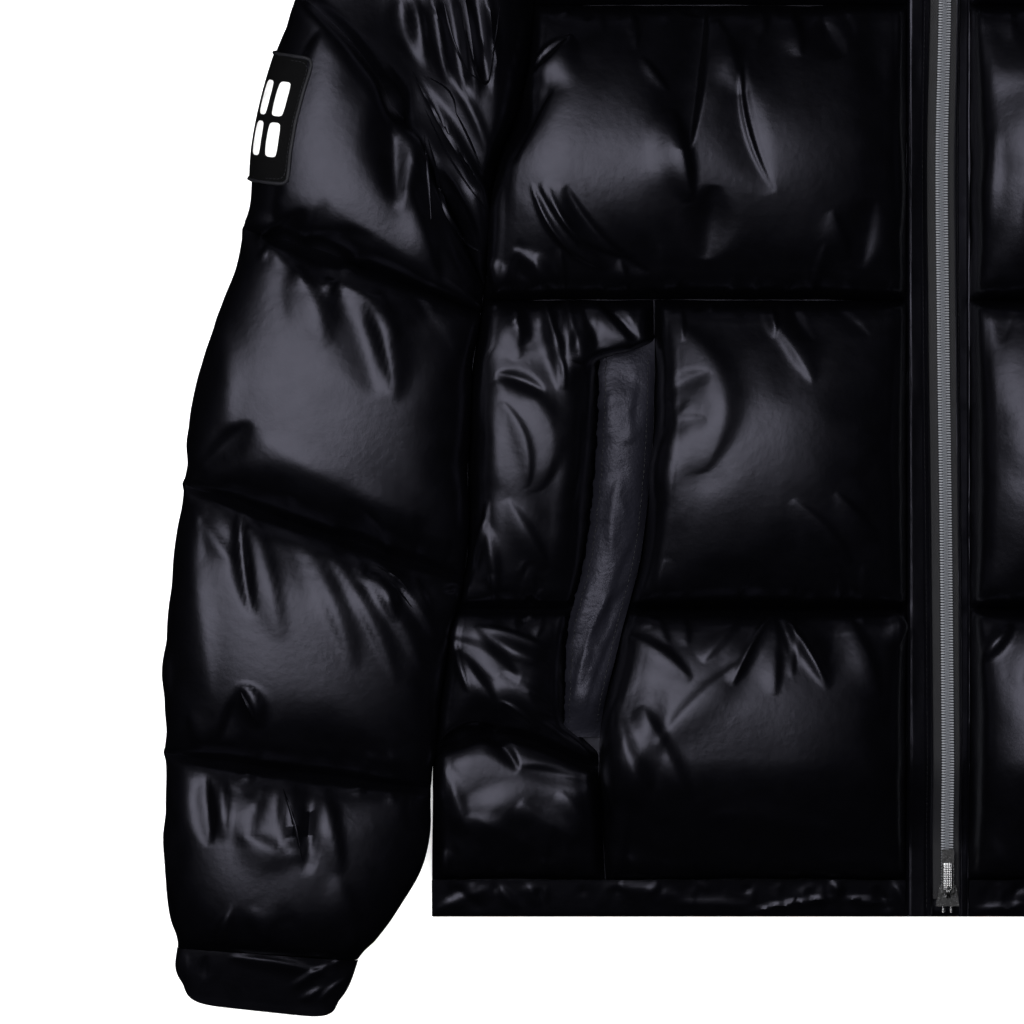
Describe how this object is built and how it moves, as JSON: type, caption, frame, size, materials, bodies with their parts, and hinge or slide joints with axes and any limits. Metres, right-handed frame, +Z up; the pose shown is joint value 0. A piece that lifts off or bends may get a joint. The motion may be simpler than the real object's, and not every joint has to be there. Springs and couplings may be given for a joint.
{
  "type": "puffer jacket, zipped up and laid flat",
  "caption": "Quilted puffer jacket in glossy black nylon, zipped to its stand collar and laid flat on its back: baffled body and sleeves, welt pockets, two-way front zip",
  "frame": {"origin": "on the surface under the jacket, below the middle of its bounding box", "axes": "+X from the wearer's right sleeve to the left one, +Y from hem to collar, +Z up from the surface through the front"},
  "size_m": [0.9172, 0.8381, 0.0754],
  "materials": {
    "shell": "glossy black woven nylon over padding",
    "welt": "black brushed nylon, a little duller than the shell",
    "zip_tape": "matt black woven tape",
    "zip_chain": "satin grey coil",
    "zip_metal": "worn nickel",
    "patch": "matt black woven patch with plain pale bars"
  },
  "bodies": {
    "jacket": {"back": "shell", "chest_left": "shell", "chest_right": "shell", "collar_back": "shell", "collar_left": "shell", "collar_right": "shell", "cuff_left": "shell", "cuff_right": "shell", "front_left": "shell", "front_right": "shell", "hem_back": "shell", "hem_left": "shell", "hem_right": "shell", "placket_left": "shell", "placket_right": "shell", "pocket_welt_left": "welt", "pocket_welt_right": "welt", "side_left": "shell", "side_right": "shell", "sleeve_left": "shell", "sleeve_patch": "patch", "sleeve_right": "shell", "slider_bottom": "zip_metal", "slider_top": "zip_metal", "yoke_left": "shell", "yoke_right": "shell", "zip_chain": "zip_chain", "zip_pin_left": "zip_metal", "zip_pin_right": "zip_metal", "zip_tape_left": "zip_tape", "zip_tape_right": "zip_tape"},
    "bottom_pull": {"pull_bottom": "zip_metal"},
    "top_pull": {"pull_top": "zip_metal"}
  },
  "joints": [
    {"name": "bottom_pull_hinge", "type": "hinge", "parent": "jacket", "child": "bottom_pull", "pos_m": [0.00257, -0.3512, 0.0163], "axis": [1, 0, 0], "range_deg": [0, 150]},
    {"name": "top_pull_hinge", "type": "hinge", "parent": "jacket", "child": "top_pull", "pos_m": [0, 0.3184, 0.0283], "axis": [-1, 0, 0], "range_deg": [0, 150]}
  ]
}
